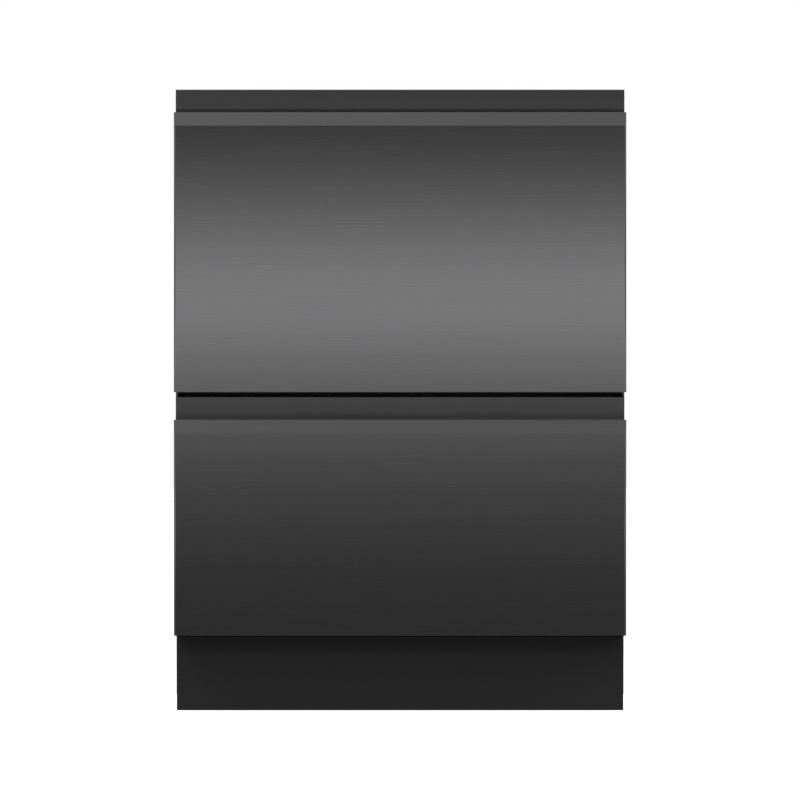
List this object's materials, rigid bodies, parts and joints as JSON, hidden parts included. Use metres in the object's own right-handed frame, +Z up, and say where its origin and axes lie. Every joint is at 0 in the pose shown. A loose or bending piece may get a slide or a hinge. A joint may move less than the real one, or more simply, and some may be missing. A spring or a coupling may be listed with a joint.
{
  "type": "dishwasher drawer",
  "caption": "Built-in dishwasher with two stacked pull-out drawers, dark brushed steel fronts with recessed finger pulls, racks, spray arms, lowering lids and a toe-kick.",
  "frame": {"origin": "on the floor, under the middle of the whole machine's box", "axes": "+X to the right as seen from the front, +Y to the back, +Z up; the drawers open towards -Y"},
  "size_m": [0.599, 0.573, 0.824],
  "materials": {
    "dark_steel": "fine horizontal brushing, satin",
    "toe_black": "satin powder coat",
    "galvanised_sheet": "galvanised, spangled",
    "runner_steel": "zinc plated",
    "dark_moulding": "fine moulded grain",
    "foot_moulding": "moulded",
    "white_moulding": "moulded",
    "lid_moulding": "moulded",
    "seal_rubber": "soft, matt",
    "display_glass": "polished",
    "button_metal": "satin",
    "tub_moulding": "moulded, faint sheen",
    "stainless": "satin",
    "spray_moulding": "moulded",
    "pump_moulding": "moulded",
    "coated_wire": "soft coating over steel wire",
    "door_moulding": "moulded",
    "cap_moulding": "moulded",
    "basket_moulding": "moulded"
  },
  "bodies": {
    "cabinet": {"cabinet_left_side": "galvanised_sheet", "cabinet_right_side": "galvanised_sheet", "cabinet_top": "galvanised_sheet", "cabinet_back": "galvanised_sheet", "base_tray": "dark_moulding", "middle_rail": "galvanised_sheet", "outer_runners": "runner_steel", "lid_lift_units": "white_moulding", "control_module": "dark_moulding", "inlet_valve": "white_moulding", "drain_spigots": "dark_moulding", "mains_gland": "dark_moulding", "toe_kick": "toe_black"},
    "foot_front_left": {"foot_front_left": "foot_moulding"},
    "foot_front_right": {"foot_front_right": "foot_moulding"},
    "foot_rear_left": {"foot_rear_left": "foot_moulding"},
    "foot_rear_right": {"foot_rear_right": "foot_moulding"},
    "lower_drawer": {"lower_front_panel": "dark_steel", "lower_front_liner": "dark_moulding", "lower_control_fascia": "dark_steel", "lower_display_window": "display_glass", "lower_tub": "tub_moulding", "lower_inner_runners": "runner_steel", "lower_filter_plate": "stainless", "lower_pump_housing": "pump_moulding", "lower_rack": "coated_wire", "lower_dispenser": "white_moulding"},
    "lower_middle_runners": {"lower_middle_runners": "runner_steel"},
    "lower_lid": {"lower_lid": "lid_moulding", "lower_lid_seal": "seal_rubber"},
    "lower_spray_arm": {"lower_spray_arm": "spray_moulding"},
    "lower_pump_rotor": {"lower_pump_rotor": "white_moulding"},
    "lower_power_button": {"lower_power_button": "button_metal"},
    "lower_programme_button": {"lower_programme_button": "button_metal"},
    "lower_start_button": {"lower_start_button": "button_metal"},
    "lower_dispenser_door": {"lower_dispenser_door": "door_moulding"},
    "lower_rinse_cap": {"lower_rinse_cap": "cap_moulding"},
    "upper_drawer": {"upper_front_panel": "dark_steel", "upper_front_liner": "dark_moulding", "upper_control_fascia": "dark_steel", "upper_display_window": "display_glass", "upper_tub": "tub_moulding", "upper_inner_runners": "runner_steel", "upper_filter_plate": "stainless", "upper_pump_housing": "pump_moulding", "upper_rack": "coated_wire", "upper_dispenser": "white_moulding", "cutlery_basket": "basket_moulding"},
    "upper_middle_runners": {"upper_middle_runners": "runner_steel"},
    "upper_lid": {"upper_lid": "lid_moulding", "upper_lid_seal": "seal_rubber"},
    "upper_spray_arm": {"upper_spray_arm": "spray_moulding"},
    "upper_pump_rotor": {"upper_pump_rotor": "white_moulding"},
    "upper_power_button": {"upper_power_button": "button_metal"},
    "upper_programme_button": {"upper_programme_button": "button_metal"},
    "upper_start_button": {"upper_start_button": "button_metal"},
    "upper_dispenser_door": {"upper_dispenser_door": "door_moulding"},
    "upper_rinse_cap": {"upper_rinse_cap": "cap_moulding"},
    "tine_row": {"tine_row": "coated_wire"},
    "cup_shelf": {"cup_shelf": "coated_wire"}
  },
  "joints": [
    {"name": "foot_front_left_screw", "type": "slide", "parent": "cabinet", "child": "foot_front_left", "axis": [0, 0, -1], "range_m": [0, 0.06]},
    {"name": "foot_front_right_screw", "type": "slide", "parent": "cabinet", "child": "foot_front_right", "axis": [0, 0, -1], "range_m": [0, 0.06]},
    {"name": "foot_rear_left_screw", "type": "slide", "parent": "cabinet", "child": "foot_rear_left", "axis": [0, 0, -1], "range_m": [0, 0.06]},
    {"name": "foot_rear_right_screw", "type": "slide", "parent": "cabinet", "child": "foot_rear_right", "axis": [0, 0, -1], "range_m": [0, 0.06]},
    {"name": "lower_drawer_slide", "type": "slide", "parent": "cabinet", "child": "lower_drawer", "axis": [0, -1, 0], "range_m": [0, 0.455]},
    {"name": "lower_middle_runner_slide", "type": "slide", "parent": "cabinet", "child": "lower_middle_runners", "axis": [0, -1, 0], "range_m": [0, 0.2275]},
    {"name": "lower_lid_lower", "type": "slide", "parent": "cabinet", "child": "lower_lid", "axis": [0, 0, -1], "range_m": [0, 0.0057]},
    {"name": "lower_spray_arm_spin", "type": "hinge", "parent": "lower_drawer", "child": "lower_spray_arm", "pos_m": [0, -0.0035, 0.1668], "axis": [0, 0, 1], "continuous": true},
    {"name": "lower_pump_rotor_spin", "type": "hinge", "parent": "lower_drawer", "child": "lower_pump_rotor", "pos_m": [0, -0.0035, 0.1208], "axis": [0, 0, 1], "continuous": true},
    {"name": "lower_power_button_press", "type": "slide", "parent": "lower_drawer", "child": "lower_power_button", "axis": [0, 0, -1], "range_m": [0, 0.0012], "stiffness_N_per_m": 300},
    {"name": "lower_programme_button_press", "type": "slide", "parent": "lower_drawer", "child": "lower_programme_button", "axis": [0, 0, -1], "range_m": [0, 0.0012], "stiffness_N_per_m": 300},
    {"name": "lower_start_button_press", "type": "slide", "parent": "lower_drawer", "child": "lower_start_button", "axis": [0, 0, -1], "range_m": [0, 0.0012], "stiffness_N_per_m": 300},
    {"name": "lower_dispenser_door_slide", "type": "slide", "parent": "lower_drawer", "child": "lower_dispenser_door", "axis": [1, 0, 0], "range_m": [0, 0.084]},
    {"name": "lower_rinse_cap_turn", "type": "hinge", "parent": "lower_drawer", "child": "lower_rinse_cap", "pos_m": [-0.05, -0.203, 0.3218], "axis": [0, 1, 0], "range_deg": [0, 90]},
    {"name": "upper_drawer_slide", "type": "slide", "parent": "cabinet", "child": "upper_drawer", "axis": [0, -1, 0], "range_m": [0, 0.455]},
    {"name": "upper_middle_runner_slide", "type": "slide", "parent": "cabinet", "child": "upper_middle_runners", "axis": [0, -1, 0], "range_m": [0, 0.2275]},
    {"name": "upper_lid_lower", "type": "slide", "parent": "cabinet", "child": "upper_lid", "axis": [0, 0, -1], "range_m": [0, 0.0057]},
    {"name": "upper_spray_arm_spin", "type": "hinge", "parent": "upper_drawer", "child": "upper_spray_arm", "pos_m": [0, -0.0035, 0.574], "axis": [0, 0, 1], "continuous": true},
    {"name": "upper_pump_rotor_spin", "type": "hinge", "parent": "upper_drawer", "child": "upper_pump_rotor", "pos_m": [0, -0.0035, 0.528], "axis": [0, 0, 1], "continuous": true},
    {"name": "upper_power_button_press", "type": "slide", "parent": "upper_drawer", "child": "upper_power_button", "axis": [0, 0, -1], "range_m": [0, 0.0012], "stiffness_N_per_m": 300},
    {"name": "upper_programme_button_press", "type": "slide", "parent": "upper_drawer", "child": "upper_programme_button", "axis": [0, 0, -1], "range_m": [0, 0.0012], "stiffness_N_per_m": 300},
    {"name": "upper_start_button_press", "type": "slide", "parent": "upper_drawer", "child": "upper_start_button", "axis": [0, 0, -1], "range_m": [0, 0.0012], "stiffness_N_per_m": 300},
    {"name": "upper_dispenser_door_slide", "type": "slide", "parent": "upper_drawer", "child": "upper_dispenser_door", "axis": [1, 0, 0], "range_m": [0, 0.084]},
    {"name": "upper_rinse_cap_turn", "type": "hinge", "parent": "upper_drawer", "child": "upper_rinse_cap", "pos_m": [-0.05, -0.203, 0.729], "axis": [0, 1, 0], "range_deg": [0, 90]},
    {"name": "tine_row_fold", "type": "hinge", "parent": "upper_drawer", "child": "tine_row", "pos_m": [-0.124, 0.0585, 0.5999], "axis": [1, 0, 0], "range_deg": [0, 88]},
    {"name": "cup_shelf_fold", "type": "hinge", "parent": "upper_drawer", "child": "cup_shelf", "pos_m": [-0.2541, -0.0655, 0.692], "axis": [0, -1, 0], "range_deg": [0, 90]}
  ],
  "couplings": [
    {"joint": "lower_middle_runner_slide", "follows": "lower_drawer_slide", "ratio": 0.5},
    {"joint": "upper_middle_runner_slide", "follows": "upper_drawer_slide", "ratio": 0.5}
  ]
}
